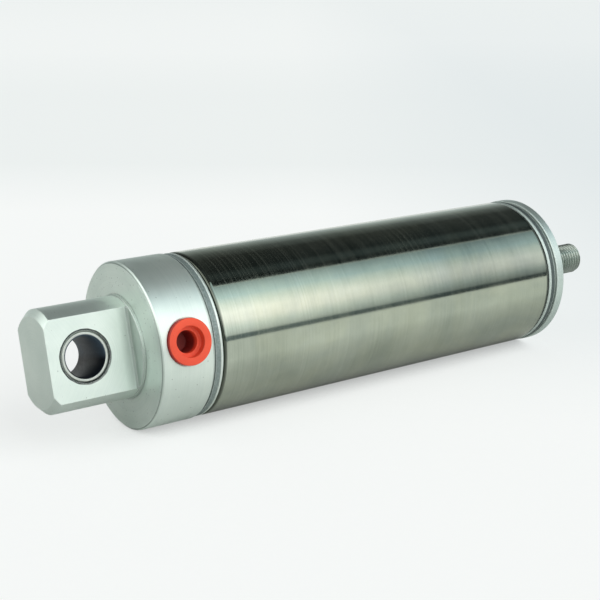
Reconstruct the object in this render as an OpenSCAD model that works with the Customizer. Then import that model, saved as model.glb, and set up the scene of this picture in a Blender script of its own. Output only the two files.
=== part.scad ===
// Round-body air cylinder with a spring return and a rear pivot tang.
// X is the axis of the cylinder and points to the rod end.  The rear pivot
// bore runs along Y through the origin, and the air port opens towards -Y.
// All sizes are millimetres.

/* [Tube] */
// Bore of the tube
bore_d = 63.5; // [62:0.5:66]
// Wall of the tube
wall = 1.5; // [1.3:0.1:1.8]
// Tube length over its two rolled ends
tube_len = 173.9; // [160:1:220]
// Outside radius of each rolled end
roll_r = 1.8; // [1.8:0.1:2]

/* [Rear head] */
// From the pivot bore's centre to the round cap's rear face
pivot_to_face = 20.8; // [19:0.2:26]
// From the pivot bore's centre to the tang's end
pivot_to_end = 14.9; // [14:0.1:18]
// Diameter of the round stub that the tang is milled from
tang_d = 40.6; // [38:0.2:44]
// Width of the tang across its two flats
tang_w = 25.4; // [22:0.2:28]
// Chamfer at the tang's end
tang_ch = 2.4; // [1.5:0.1:3]
// Fillet at the root of each flat
root_r = 1.3; // [0.8:0.1:1.6]
// Length of the round cap
cap_len = 22.2; // [20:0.2:28]
// How far the cap stands out past the tube, on the radius
cap_proud = 0.25; // [0:0.05:0.8]

/* [Pivot bush] */
// Bore of the bush
bush_id = 15.875; // [14:0.125:17]
// Wall of the bush
bush_wall = 1.5875; // [1:0.1:2]

/* [Air port] */
// From the cap's rear face to the port's axis
port_at = 12; // [10.8:0.1:12.8]
// Bore of the port
port_d = 13.5; // [11:0.1:14]
// Diameter of the plug's flange
plug_flange_d = 18; // [16.4:0.1:19]
// How far the flange stands out from the cap
plug_proud = 1.4; // [0.8:0.1:2.5]

/* [Front head] */
// Length of the ring outside the tube
ring_len = 4.4; // [4:0.2:10]
// Length of the boss round the rod
boss_len = 4; // [3.4:0.2:8]
// Diameter of the boss
boss_d = 29; // [28:0.5:34]

/* [Rod and piston] */
// Diameter of the rod
rod_d = 15.875; // [15:0.125:16]
// Major diameter of the rod's threaded end
thread_d = 14.2875; // [12.7:0.1:14.6]
// Length of the threaded end
thread_len = 25.4; // [20:0.2:28]
// From the front ring's face to the rod's tip, retracted
rod_out = 40.1; // [38:0.1:60]
// Length of the piston
piston_len = 20; // [19:0.5:26]
// Stroke
stroke = 63.5; // [40:0.5:70]

/* [Return spring] */
// Wire of the spring
wire_d = 3.6; // [3:0.1:4]
// Mean diameter of the spring
spring_d = 44; // [42:0.5:46]
// Working turns of the spring
turns = 9; // [7:1:10]

/* [Hidden] */
$fn = 96;
over = 1;            // how far a cutter runs past the face it cuts
slip = 0.03;         // running clearance, on the radius
snug = 0.01;         // clearance between pieces that are assembled for good

bore_r = bore_d / 2;
tube_r = bore_r + wall;
cap_r = tube_r + cap_proud;
collar_len = 4.9;    // from a head's flange to the tube's rolled end
spigot_len = 14.2;   // from the tube's rolled end to the head's inner face

// Stations along X, from the tang to the rod's tip
x_face = pivot_to_face;
x_cap = x_face + cap_len;
x_tube = x_cap + collar_len;
x_in = x_tube + spigot_len;
x_tube_end = x_tube + tube_len;
x_in_end = x_tube_end - spigot_len;
x_ring = x_tube_end + collar_len;
x_end = x_ring + ring_len;
x_nose = x_end + boss_len;
x_tip = x_end + rod_out;

// Pad that the tang grows out of
pad_h = 1.2;
pad_r = tang_d / 2 + 0.4;
x_pad = x_face - pad_h;
x_port = x_face + port_at;

// Rolled lip of the tube, and the crimp groove under it
lip_in = roll_r - wall;
lip_r = tube_r - roll_r;
crimp_r = lip_r - 0.15;
spigot_r = bore_r - 0.04;
shoulder = roll_r - lip_in + 0.05;

// O-rings of the two heads
cord_r = 1.3;
oring_at = 6.4;      // from a head's inner face to its O-ring
oring_r = bore_r - snug - cord_r;

// Piston and what it carries
gap = 0.1;           // between the piston and its bumper, retracted
bumper_t = 2;
x_piston = x_in + bumper_t + gap;
x_piston_end = x_piston + piston_len;
seat_t = 1.5;
x_seat = x_piston_end + seat_t;
x_front_seat = x_in_end - seat_t;
rod_r = rod_d / 2;
stud_r = 6;          // reduced end of the rod inside the piston
nut_t = 7;
washer_t = 1.5;
x_web = x_piston + 0.8 + nut_t + washer_t;
x_stop = x_seat + gap + stroke + bumper_t;
front_bush_r = rod_r + 2.4;
wiper_r = rod_r + 4.2;
wiper_t = 4.5;

// A solid of revolution about X: points are [radius, station]
module turned() {
    rotate([0, 90, 0]) rotate_extrude() children();
}

// A round bar or cutter along X
module bar(r, x0, x1) {
    translate([x0, 0, 0]) rotate([0, 90, 0]) cylinder(r = r, h = x1 - x0);
}

// A plain ring about X
module ring(r_in, r_out, x0, x1) {
    difference() {
        bar(r_out, x0, x1);
        bar(r_in, x0 - over, x1 + over);
    }
}

// A ring with its outer corners broken by c
module soft_ring(r_in, r_out, x0, x1, c) {
    turned() polygon([[r_in, x0], [r_out - c, x0], [r_out, x0 + c],
                      [r_out, x1 - c], [r_out - c, x1], [r_in, x1]]);
}

// Outline of a head from its flange at x to its inner face: a narrow groove,
// a low band, a raised edge, the crimp groove and the spigot.  s is +1 where
// the spigot points to +X and -1 where it points to -X.
function collar(x, s) = [
    [cap_r - 0.3, x],
    [tube_r - 0.9, x + s * 0.15],
    [tube_r - 0.9, x + s * 0.95],
    [tube_r - 0.3, x + s * 1.2],
    [tube_r - 0.3, x + s * 3.3],
    [tube_r - 0.1, x + s * 3.5],
    [tube_r - 0.1, x + s * 4.1],
    [tube_r - 0.55, x + s * 4.55],
    [crimp_r, x + s * 4.55],
    [crimp_r, x + s * (collar_len + shoulder)],
    [lip_r + 0.05, x + s * (collar_len + shoulder)],
    [spigot_r, x + s * (collar_len + roll_r - 0.1)],
    [spigot_r, x + s * (collar_len + spigot_len - 0.6)],
    [spigot_r - 0.6, x + s * (collar_len + spigot_len)],
];

// Groove for a head's O-ring at station x
module oring_groove(x) {
    ring(oring_r - cord_r - snug, bore_r + over, x - 1.8, x + 1.8);
}

// One side of the stub milled away, with a round root against the pad
module flat_cut() {
    reach = tang_d;
    linear_extrude(height = 2 * reach, center = true) difference() {
        translate([x_pad - 2 * reach, tang_w / 2]) square([2 * reach, reach]);
        difference() {
            translate([x_pad - root_r, tang_w / 2]) square(root_r);
            translate([x_pad - root_r, tang_w / 2 + root_r]) circle(root_r);
        }
    }
}

// Rear head: tang, pad, cap and spigot turned and milled from one bar
module rear_head() {
    stub_r = tang_d / 2;
    color("#cdd6cf") difference() {
        turned() polygon(concat(
            [[0, -pivot_to_end], [stub_r - tang_ch, -pivot_to_end],
             [stub_r, -pivot_to_end + tang_ch], [stub_r, x_pad],
             [pad_r - 0.25, x_pad], [pad_r, x_pad + 0.25], [pad_r, x_face],
             [cap_r - 0.9, x_face], [cap_r, x_face + 0.9],
             [cap_r, x_cap - 0.3]],
            collar(x_cap, 1), [[0, x_in]]));
        flat_cut();
        mirror([0, 1, 0]) flat_cut();
        pivot_bore();
        port();
        oring_groove(x_in - oring_at);
    }
}

// Cross bore for the bush, with a chamfer at each flat
module pivot_bore() {
    r = bush_id / 2 + bush_wall + snug;
    c = 0.6;
    wide = 1.05;
    rotate([90, 0, 0]) {
        cylinder(r = r, h = tang_w + 2 * over, center = true);
        for (side = [0, 1]) mirror([0, 0, side])
            translate([0, 0, tang_w / 2 - c])
                cylinder(r1 = r, r2 = r + wide, h = c + over);
    }
}

// Spot face, port bore and the drillings that feed the chamber
module port() {
    spot = cap_r - sqrt(pow(cap_r, 2) - pow(plug_flange_d / 2, 2)) + 0.1;
    depth = 16;
    passage_r = 4;
    translate([x_port, 0, 0]) rotate([90, 0, 0]) {
        translate([0, 0, cap_r - spot])
            cylinder(r = plug_flange_d / 2 + 0.3, h = spot + over);
        translate([0, 0, cap_r - depth])
            cylinder(r = port_d / 2, h = depth + over);
        cylinder(r = passage_r, h = cap_r);
    }
    bar(passage_r, x_port, x_in + over);
}

// Steel-backed bush pressed into the tang
module pivot_bush() {
    len = tang_w - 0.8;
    color("#4a5058") rotate([90, 0, 0]) difference() {
        cylinder(r = bush_id / 2 + bush_wall, h = len, center = true);
        cylinder(r = bush_id / 2, h = len + 2 * over, center = true);
    }
}

// Shipping plug: a flange with a stepped recess and a hollow shank
module port_plug() {
    spot = cap_r - sqrt(pow(cap_r, 2) - pow(plug_flange_d / 2, 2)) + 0.1;
    y0 = cap_r - spot + 0.05;
    y1 = cap_r + plug_proud;
    shank_r = port_d / 2 - 0.12;
    shank = 10;
    step_r = shank_r - 0.65;
    hole_r = shank_r - 2.25;
    recess = 3;
    color("#e0523a") translate([x_port, 0, 0]) rotate([90, 0, 0])
        rotate_extrude() polygon([
            [0, y0 - shank], [shank_r - 0.8, y0 - shank],
            [shank_r, y0 - shank + 1.2], [shank_r, y0],
            [plug_flange_d / 2, y0], [plug_flange_d / 2, y1 - 0.35],
            [plug_flange_d / 2 - 0.35, y1], [step_r + 0.3, y1],
            [step_r, y1 - 0.3], [step_r, y1 - recess],
            [hole_r, y1 - recess], [hole_r - 0.4, y0 - shank + 1.2],
            [0, y0 - shank + 1.2]]);
}

// O-ring of a head at station x
module head_oring(x) {
    color("#1b1b1c") turned() translate([oring_r, x]) circle(cord_r);
}

module rear_head_oring() { head_oring(x_in - oring_at); }

module front_head_oring() { head_oring(x_in_end + oring_at); }

// Elastomer ring that the piston rests against when retracted
module rear_bumper() {
    color("#2f3a42") soft_ring(15, 24, x_in, x_in + bumper_t, 0.5);
}

// One end of the tube, rolled a quarter turn inwards about its lip
module rolled_end(x) {
    intersection() {
        translate([lip_r, x + roll_r]) difference() {
            circle(roll_r);
            circle(lip_in);
        }
        translate([lip_r, x]) square(roll_r);
    }
}

// Tube with both ends rolled over the heads
module tube() {
    color("#9da3a0") turned() {
        translate([bore_r, x_tube + roll_r])
            square([wall, tube_len - 2 * roll_r]);
        rolled_end(x_tube);
        translate([0, x_tube + x_tube_end]) mirror([0, 1])
            rolled_end(x_tube);
    }
}

// Front head: spigot, crimp collar, outer ring and the boss round the rod
module front_head() {
    color("#cdd6cf") difference() {
        turned() polygon(concat(
            [[0, x_nose], [boss_d / 2 - 0.6, x_nose],
             [boss_d / 2, x_nose - 0.6], [boss_d / 2, x_end],
             [cap_r - 0.6, x_end], [cap_r, x_end - 0.6],
             [cap_r, x_ring + 0.3]],
            collar(x_ring, -1), [[0, x_in_end]]));
        bar(front_bush_r + snug, x_in_end - over, x_nose - wiper_t - 1.5);
        bar(rod_r + 0.4, x_in_end - over, x_nose + over);
        bar(wiper_r + snug, x_nose - wiper_t, x_nose + over);
        oring_groove(x_in_end + oring_at);
        translate([0, 0, -22]) {
            bar(1.6, x_in_end - over, x_end + over);
            bar(3.5 + snug, x_end - 3, x_end + over);
        }
    }
}

// Sintered bronze bearing pressed into the front head
module rod_bush() {
    color("#a9824a") ring(rod_r + slip, front_bush_r,
                          x_in_end, x_nose - wiper_t - 1.5);
}

// Wiper lip seal in the mouth of the boss
module rod_wiper() {
    x1 = x_nose - 0.3;
    x0 = x_nose - wiper_t;
    color("#1b1b1c") turned() polygon([
        [rod_r + 1.2, x0], [wiper_r, x0], [wiper_r, x1],
        [wiper_r - 1.4, x1], [rod_r + 1.6, x1 - 1.6],
        [rod_r + 0.9, x1], [rod_r + slip, x1 - 0.4],
        [rod_r + slip, x1 - 1.2]]);
}

// Sintered filter of the breather hole in the ring's face
module vent_filter() {
    color("#a9824a") translate([0, 0, -22]) bar(3.5, x_end - 3, x_end - 0.2);
}

// Rod: stud for the piston, ground shaft, thread relief and threaded end
module rod() {
    tr = thread_d / 2;
    x_thread = x_tip - thread_len;
    color("#b9bdbb") turned() polygon([
        [0, x_piston + 0.3], [stud_r - 0.8, x_piston + 0.3],
        [stud_r, x_piston + 1.1], [stud_r, x_piston_end],
        [rod_r, x_piston_end], [rod_r, x_thread - 2.4],
        [rod_r - 0.8, x_thread - 1.6], [tr - 1, x_thread - 1.6],
        [tr - 1, x_thread], [tr, x_thread + 1],
        [tr, x_tip - 1.3], [tr - 1.3, x_tip], [0, x_tip]]);
}

// Piston: recess for the nut, seal groove and wear-ring groove
module piston() {
    r = bore_r - 0.3;
    color("#aeb4b0") difference() {
        turned() polygon([
            [0, x_piston], [r - 0.8, x_piston], [r, x_piston + 0.8],
            [r, x_piston_end - 0.8], [r - 0.8, x_piston_end],
            [0, x_piston_end]]);
        bar(13.5, x_piston - over, x_web);
        bar(stud_r + snug, x_piston - over, x_piston_end + over);
        ring(seal_r, bore_r + over, x_seal, x_seal + seal_w);
        ring(wear_r, bore_r + over, x_wear, x_wear + wear_w);
        ring(0, stud_r + 1.9, x_cord - 1.2, x_cord + 1.2);
    }
}
seal_r = bore_r - 5.2;
seal_w = 5.6;
x_seal = x_piston + 2.2;
wear_r = bore_r - 2;
wear_w = 6.4;
x_wear = x_piston_end - 2 - wear_w;
x_cord = x_piston_end - 4;

// U-cup with its lips towards the air
module piston_seal() {
    x0 = x_seal + 0.2;
    x1 = x_seal + seal_w - 0.1;
    ro = bore_r - slip;
    color("#1b1b1c") turned() polygon([
        [seal_r + snug, x0 + 0.6], [seal_r + 0.8, x0],
        [seal_r + 1.5, x0], [seal_r + 2.55, x0 + 2.4],
        [ro - 1.5, x0], [ro - 0.8, x0], [ro, x0 + 0.6], [ro, x0 + 1.6],
        [ro - 0.3, x1], [seal_r + snug, x1]]);
}

// Split-cut guide strip round the piston
module piston_wear_ring() {
    color("#6e5b43") ring(wear_r + snug, bore_r - slip,
                          x_wear + 0.1, x_wear + wear_w - 0.1);
}

// Static seal between the piston and the rod's stud
module piston_oring() {
    color("#1b1b1c") turned() translate([stud_r + 0.9 + snug, x_cord])
        circle(0.85);
}

module piston_washer() {
    color("#8f9492") ring(stud_r + 0.15, 11.5, x_web - washer_t, x_web);
}

// Hexagon nut on the rod's stud, inside the piston's recess
module piston_nut() {
    flats = 19;
    x0 = x_web - washer_t - nut_t;
    color("#8f9492") difference() {
        intersection() {
            translate([x0, 0, 0]) rotate([0, 90, 0])
                cylinder(r = flats / sqrt(3), h = nut_t, $fn = 6);
            turned() polygon([
                [0, x0], [flats / 2 - 0.2, x0], [flats / sqrt(3), x0 + 1],
                [flats / sqrt(3), x0 + nut_t], [0, x0 + nut_t]]);
        }
        bar(stud_r + snug, x0 - over, x0 + nut_t + over);
    }
}

// A pressed washer with a rim that centres one end of the spring.
// s is +1 where the rim points to +X.
module spring_seat(x, s) {
    rim = spring_d / 2 - wire_d / 2 - 0.3;
    color("#8f9492") turned() polygon([
        [rod_r + 0.5, x], [spring_d / 2 + wire_d, x],
        [spring_d / 2 + wire_d, x + s * seat_t], [rim, x + s * seat_t],
        [rim - 0.5, x + s * (seat_t + 3)],
        [rim - seat_t - 0.5, x + s * (seat_t + 3)],
        [rim - seat_t - 0.5, x + s * seat_t],
        [rod_r + 0.5, x + s * seat_t]]);
}

module piston_spring_seat() { spring_seat(x_piston_end, 1); }

module front_spring_seat() { spring_seat(x_in_end, -1); }

// Sleeve round the rod that ends the stroke
module stop_sleeve() {
    color("#aeb4b0") ring(rod_r + 0.6, rod_r + 4, x_stop, x_front_seat);
}

// Elastomer ring on the sleeve's end
module front_bumper() {
    color("#2f3a42") soft_ring(rod_r + 0.6, rod_r + 4,
                               x_stop - bumper_t, x_stop, 0.5);
}

// Return spring: a closed turn at each end and open turns between them.
// The wire is swept along a helix as rings of points, joined face to face.
module return_spring() {
    per_turn = 18;
    sides = 8;
    wire_r = wire_d / 2;
    x0 = x_seat + snug + wire_r;
    x1 = x_front_seat - snug - wire_r;
    closed = wire_d * 1.03;
    open = (x1 - x0 - 2 * closed) / turns;
    steps = (turns + 2) * per_turn;
    function advance(t) =
        t < 1 ? t * closed
        : t > turns + 1 ? closed + turns * open + (t - turns - 1) * closed
        : closed + (t - 1) * open;
    points = [for (i = [0 : steps]) for (k = [0 : sides - 1])
        let (a = 360 * i / per_turn, b = 360 * k / sides,
             r = spring_d / 2 + wire_r * cos(b))
        [x0 + advance(i / per_turn) + wire_r * sin(b),
         r * cos(a), r * sin(a)]];
    start = [[for (k = [0 : sides - 1]) k]];
    finish = [[for (k = [sides - 1 : -1 : 0]) steps * sides + k]];
    skin = [for (i = [0 : steps - 1]) for (k = [0 : sides - 1])
        let (a = i * sides + k, b = i * sides + (k + 1) % sides)
        each [[a, a + sides, b], [b, a + sides, b + sides]]];
    color("#7d8380") polyhedron(points, concat(start, finish, skin));
}

rear_head();
pivot_bush();
port_plug();
rear_head_oring();
rear_bumper();
tube();
front_head();
front_head_oring();
rod_bush();
rod_wiper();
vent_filter();
rod();
piston();
piston_seal();
piston_wear_ring();
piston_oring();
piston_washer();
piston_nut();
piston_spring_seat();
front_spring_seat();
stop_sleeve();
front_bumper();
return_spring();
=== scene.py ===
"""Looks for a round-body air cylinder with a spring return and a rear tang.

X is the cylinder's axis and points to the rod end. The pivot bore runs along Y
through the origin. Everything is in metres.
"""
import math

import bmesh
import bpy
from mathutils import Matrix, Vector


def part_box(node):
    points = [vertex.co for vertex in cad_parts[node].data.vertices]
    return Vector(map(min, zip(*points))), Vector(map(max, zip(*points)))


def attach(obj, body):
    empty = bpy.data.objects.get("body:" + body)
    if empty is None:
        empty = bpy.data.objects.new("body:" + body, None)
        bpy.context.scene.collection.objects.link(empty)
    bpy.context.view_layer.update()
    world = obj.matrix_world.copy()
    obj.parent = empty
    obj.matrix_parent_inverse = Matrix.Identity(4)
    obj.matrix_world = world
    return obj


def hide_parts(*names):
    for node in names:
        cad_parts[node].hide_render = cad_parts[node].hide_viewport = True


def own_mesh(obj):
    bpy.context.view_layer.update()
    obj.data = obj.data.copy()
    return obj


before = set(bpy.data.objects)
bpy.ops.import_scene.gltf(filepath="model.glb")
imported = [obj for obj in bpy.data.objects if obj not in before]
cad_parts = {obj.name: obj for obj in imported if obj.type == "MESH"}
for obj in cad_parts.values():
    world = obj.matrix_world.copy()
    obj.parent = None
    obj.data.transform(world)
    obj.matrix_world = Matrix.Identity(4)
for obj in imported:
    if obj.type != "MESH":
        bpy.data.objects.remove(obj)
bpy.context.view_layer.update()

MM = 0.001

# ---------------------------------------------------------------- the set-up
# The cylinder lies on its round body, turned a little about its own axis, so
# the floor, the camera and the lamps are tilted about X to match.
TILT = math.radians(14.26)
SET = Matrix.Rotation(TILT, 4, "X")
FLOOR_Z = -0.0336


def on_set(x, y, z):
    """A point of the set, floor level and upright, in the object's frame."""
    return SET @ Vector((x, y, z))


def look(at, towards):
    """A place and an aim on the set: the object's -Z faces the aim."""
    here, there = Vector(at), Vector(towards)
    turn = (there - here).to_track_quat("-Z", "Y").to_matrix().to_4x4()
    return SET @ Matrix.Translation(here) @ turn


# ------------------------------------------------------------- wiring helper
def put(tree, kind, inputs=None, **settings):
    """Adds a node, sets its options, and fills or links its inputs."""
    node = tree.nodes.new(kind)
    for name, value in settings.items():
        setattr(node, name, value)
    for key, value in (inputs or {}).items():
        if isinstance(value, bpy.types.NodeSocket):
            tree.links.new(value, node.inputs[key])
        else:
            node.inputs[key].default_value = value
    return node


def plain_tree(material):
    """The emptied node tree of a new material or world."""
    material.use_nodes = True
    material.node_tree.nodes.clear()
    return material.node_tree


def calc(tree, operation, a, b=0.0, c=0.0, clamp=False):
    """One sum on up to three values or sockets."""
    return put(tree, "ShaderNodeMath", {0: a, 1: b, 2: c},
               operation=operation, use_clamp=clamp).outputs[0]


def product(tree, first, *rest):
    """Several values or sockets multiplied together."""
    for value in rest:
        first = calc(tree, "MULTIPLY", first, value)
    return first


def from_middle(tree, a, b):
    """How far the point (a, b) lies from (0, 0)."""
    return calc(tree, "SQRT", calc(tree, "ADD", product(tree, a, a),
                                   product(tree, b, b)))


def own_place(tree):
    """A point in its piece's own frame: whole, and split into X, Y and Z."""
    here = put(tree, "ShaderNodeTexCoord").outputs["Object"]
    return here, put(tree, "ShaderNodeSeparateXYZ", {0: here}).outputs


# The middle of a noise's range, and a wider part of it
MIDDLE, MOST = (0.3, 0.7), (0.25, 0.75)


def noise(tree, at, scale, detail, **more):
    """Smooth noise about 0.5, at a place, with lumps per metre."""
    return put(tree, "ShaderNodeTexNoise",
               {"Vector": at, "Scale": scale, "Detail": detail,
                **more}).outputs[0]


def spread(tree, value, low, high, out_low=0.0, out_high=1.0):
    """Maps a value's range low..high onto out_low..out_high, clamped."""
    return put(tree, "ShaderNodeMapRange",
               {"Value": value, "From Min": low, "From Max": high,
                "To Min": out_low, "To Max": out_high}).outputs["Result"]


def blend_colour(tree, amount, a, b):
    """A colour from a to b by amount."""
    return put(tree, "ShaderNodeMix", {0: amount, 6: a, 7: b},
               data_type="RGBA").outputs[2]


def new_group(name, inputs, outputs):
    """A shader group with named float inputs and float or colour outputs."""
    group = bpy.data.node_groups.new(name, "ShaderNodeTree")
    for label, value in inputs:
        socket = group.interface.new_socket(
            label, in_out="INPUT", socket_type="NodeSocketFloat")
        socket.default_value = value
    for label, kind in outputs:
        group.interface.new_socket(
            label, in_out="OUTPUT", socket_type="NodeSocket" + kind)
    given = group.nodes.new("NodeGroupInput").outputs
    made = group.nodes.new("NodeGroupOutput")
    return group, given, made


def use(tree, group, **values):
    """Places a shader group in a material with its own values."""
    inputs = {key.replace("_", " "): value for key, value in values.items()}
    return put(tree, "ShaderNodeGroup", inputs, node_tree=group).outputs


def srgb(red, green, blue):
    """An 8-bit colour as linear light, for a colour socket."""
    def line(v):
        v /= 255.0
        return v / 12.92 if v <= 0.04045 else ((v + 0.055) / 1.055) ** 2.4
    return (line(red), line(green), line(blue), 1.0)


# ------------------------------------------------------------ shared effects
def make_turning_lines():
    """Fine lines left by turning or brushing round the X axis.

    They run round a cylinder and also round on its flat ends, because the
    pattern follows both the place along the axis and the radius."""
    group, given, made = new_group(
        "turning lines",
        [("Lines", 3000.0), ("Waver", 6.0)],
        [("Height", "Float"), ("Bands", "Float")])
    part = own_place(group)[1]
    along = calc(group, "ADD", part["X"],
                 from_middle(group, part["Y"], part["Z"]))
    place = put(group, "ShaderNodeCombineXYZ", {
        0: product(group, along, given["Lines"]),
        1: product(group, part["Y"], given["Waver"]),
        2: product(group, part["Z"], given["Waver"])}).outputs[0]
    fine = noise(group, place, 1.0, 3.0, Roughness=0.65)
    wider = (0.11, 0.6, 0.6)
    coarse_at = put(group, "ShaderNodeVectorMath", {0: place, 1: wider},
                    operation="MULTIPLY").outputs[0]
    coarse = noise(group, coarse_at, 1.0, 2.0)
    group.links.new(fine, made.inputs["Height"])
    group.links.new(spread(group, coarse, *MIDDLE), made.inputs["Bands"])
    return group


def make_fine_grain():
    """An even fine grain with a few tiny dark specks, as on anodised or
    blasted metal and on moulded plastic."""
    group, given, made = new_group(
        "fine grain",
        [("Scale", 2500.0), ("Speck Scale", 900.0), ("Speck Size", 0.12)],
        [("Height", "Float"), ("Specks", "Float"), ("Clouds", "Float")])
    here = own_place(group)[0]
    grain = noise(group, here, given["Scale"], 3.0, Roughness=0.6)
    cells = put(group, "ShaderNodeTexVoronoi",
                {"Vector": here, "Scale": given["Speck Scale"]})
    speck = calc(group, "LESS_THAN", cells.outputs["Distance"],
                 given["Speck Size"])
    chosen = put(group, "ShaderNodeSeparateColor",
                 {0: cells.outputs["Color"]}).outputs[0]
    cells_without = 0.72
    rare = calc(group, "GREATER_THAN", chosen, cells_without)
    clouds = noise(group, here, 45.0, 4.0, Roughness=0.55)
    group.links.new(grain, made.inputs["Height"])
    group.links.new(product(group, speck, rare), made.inputs["Specks"])
    group.links.new(spread(group, clouds, *MIDDLE), made.inputs["Clouds"])
    return group


def make_highlit_edges():
    """A mask for painted highlight along outer edges, broken up a little, and
    the surface normal with those edges slightly rounded."""
    group, given, made = new_group(
        "highlit edges", [("Width", 0.0004), ("Breakup", 0.4)],
        [("Mask", "Float"), ("Rounded", "Vector")])
    soft = put(group, "ShaderNodeBevel", {"Radius": given["Width"]}, samples=4)
    true_normal = put(group, "ShaderNodeNewGeometry").outputs["True Normal"]
    dot = put(group, "ShaderNodeVectorMath",
              {0: soft.outputs[0], 1: true_normal},
              operation="DOT_PRODUCT").outputs["Value"]
    nearly_flat, well_bent = 0.985, 0.86
    bend = spread(group, dot, nearly_flat, well_bent)
    patch_low, patch_high = 0.35, 0.65
    patch = noise(group, own_place(group)[0], 420.0, 3.0)
    kept = calc(group, "SUBTRACT", 1.0,
                product(group, spread(group, patch, patch_low, patch_high),
                        given["Breakup"]))
    group.links.new(product(group, bend, kept), made.inputs["Mask"])
    group.links.new(soft.outputs[0], made.inputs["Rounded"])
    return group


def make_handling_marks():
    """Faint smears and a few thin scratches from handling."""
    group, given, made = new_group(
        "handling marks", [("Smear Scale", 24.0), ("Scratch Scale", 60.0)],
        [("Smears", "Float"), ("Scratches", "Float")])
    here = own_place(group)[0]
    smear = noise(group, here, given["Smear Scale"], 5.0, Roughness=0.6,
                  Distortion=1.2)
    turned = put(group, "ShaderNodeMapping",
                 {"Vector": here, "Rotation": (0.5, 0.4, 0.9),
                  "Scale": (1.0, 14.0, 14.0)}).outputs[0]
    streak = noise(group, turned, given["Scratch Scale"], 2.0)
    away = noise(group, here, 30.0, 1.0)
    scratch_width, smeared, scratched = 0.0025, (0.4, 0.75), (0.5, 0.62)
    thin = calc(group, "LESS_THAN",
                calc(group, "ABSOLUTE", calc(group, "SUBTRACT", streak, 0.5)),
                scratch_width)
    group.links.new(spread(group, smear, *smeared), made.inputs["Smears"])
    group.links.new(product(group, thin, spread(group, away, *scratched)),
                    made.inputs["Scratches"])
    return group


def make_collar_band():
    """A mask for the blasted band between two stations along X."""
    group, given, made = new_group(
        "collar band", [("From", 0.0), ("To", 0.0), ("Least Radius", 0.030)],
        [("Mask", "Float")])
    part = own_place(group)[1]
    past = calc(group, "GREATER_THAN", part["X"], given["From"])
    short = calc(group, "LESS_THAN", part["X"], given["To"])
    outer = calc(group, "GREATER_THAN",
                 from_middle(group, part["Y"], part["Z"]),
                 given["Least Radius"])
    group.links.new(product(group, past, short, outer), made.inputs["Mask"])
    return group


def make_root_shade():
    """A mask of painted shade for the tang's root: its flats darken towards
    the pad, with a dark line in the corner, the turned faces behind are darker
    too, and so is the part of the face's chamfer next to the face."""
    group, given, made = new_group(
        "tang root shade",
        [("Root", 0.0196), ("Flat", 0.0126), ("Face", 0.0208)],
        [("Mask", "Float")])
    part = own_place(group)[1]
    hair = 0.00004
    short = calc(group, "SUBTRACT", given["Root"], part["X"])
    on_flat = calc(group, "GREATER_THAN",
                   calc(group, "ABSOLUTE", part["Y"]), given["Flat"])
    fade_from, fade_to, fade_most = 0.0048, 0.0010, 0.34
    fade = spread(group, short, fade_from, fade_to, 0.0, fade_most)
    line_outside, line_inside, line_most = (
        (0.00115, 0.0009), (0.00025, 0.00045), 0.62)
    line = product(group, spread(group, short, *line_outside),
                   spread(group, short, *line_inside), line_most)
    before = calc(group, "GREATER_THAN", short, hair)
    flat = product(group, before, on_flat, calc(group, "MAXIMUM", fade, line))
    past = calc(group, "SUBTRACT", part["X"], given["Face"])
    face = product(group, calc(group, "SUBTRACT", 1.0, before),
                   calc(group, "LESS_THAN", past, hair))
    pad_tone, pad_end = 0.3, -0.0006
    bevel_half, bevel_out, bevel_tone = 0.00035, 0.0005, 0.55
    tone = calc(group, "MULTIPLY_ADD",
                calc(group, "GREATER_THAN", past, pad_end), -pad_tone,
                pad_tone)
    bevel = product(group, calc(group, "GREATER_THAN", past, hair),
                    spread(group, past, bevel_half, bevel_out,
                           bevel_tone, 0.0))
    dull = calc(group, "MAXIMUM", product(group, face, tone), bevel)
    group.links.new(calc(group, "MAXIMUM", flat, dull), made.inputs["Mask"])
    return group


def make_port_shade():
    """A mask that darkens the air port's thread the deeper it goes."""
    group, given, made = new_group(
        "air port shade", [("Centre", 0.0328), ("Radius", 0.0074),
                           ("Mouth", -0.0326), ("Deep", -0.024)],
        [("Mask", "Float")])
    part = own_place(group)[1]
    off = calc(group, "SUBTRACT", part["X"], given["Centre"])
    within = calc(group, "LESS_THAN", from_middle(group, off, part["Z"]),
                  given["Radius"])
    in_front = calc(group, "LESS_THAN", part["Y"], 0.0)
    sunk = spread(group, part["Y"], given["Mouth"], given["Deep"])
    group.links.new(product(group, within, in_front, sunk),
                    made.inputs["Mask"])
    return group


def make_lips():
    """A mask of painted shade at the tube's two rolled ends."""
    group, given, made = new_group(
        "rolled lips", [("Low", 0.0), ("High", 0.2), ("Rear Width", 0.0014),
                        ("Front Width", 0.002)], [("Mask", "Float")])
    along = own_place(group)[1]["X"]
    rear_full, front_full = 0.5, 0.8    # the share of each that is all painted shade
    rear = spread(group, calc(group, "SUBTRACT", along, given["Low"]),
                  given["Rear Width"],
                  product(group, given["Rear Width"], rear_full))
    front = spread(group, calc(group, "SUBTRACT", given["High"], along),
                   given["Front Width"],
                   product(group, given["Front Width"], front_full))
    group.links.new(calc(group, "MAXIMUM", rear, front), made.inputs["Mask"])
    return group


def make_crevices():
    """A mask of painted shade for corners and grooves that light hardly
    reaches.
    """
    group, given, made = new_group(
        "crevices", [("Reach", 0.0012), ("Open", 0.85), ("Shut", 0.35)],
        [("Mask", "Float")])
    reach = put(group, "ShaderNodeAmbientOcclusion",
                {"Distance": given["Reach"]}, samples=6,
                only_local=True).outputs["AO"]
    group.links.new(spread(group, reach, given["Open"], given["Shut"]),
                    made.inputs["Mask"])
    return group


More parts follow.
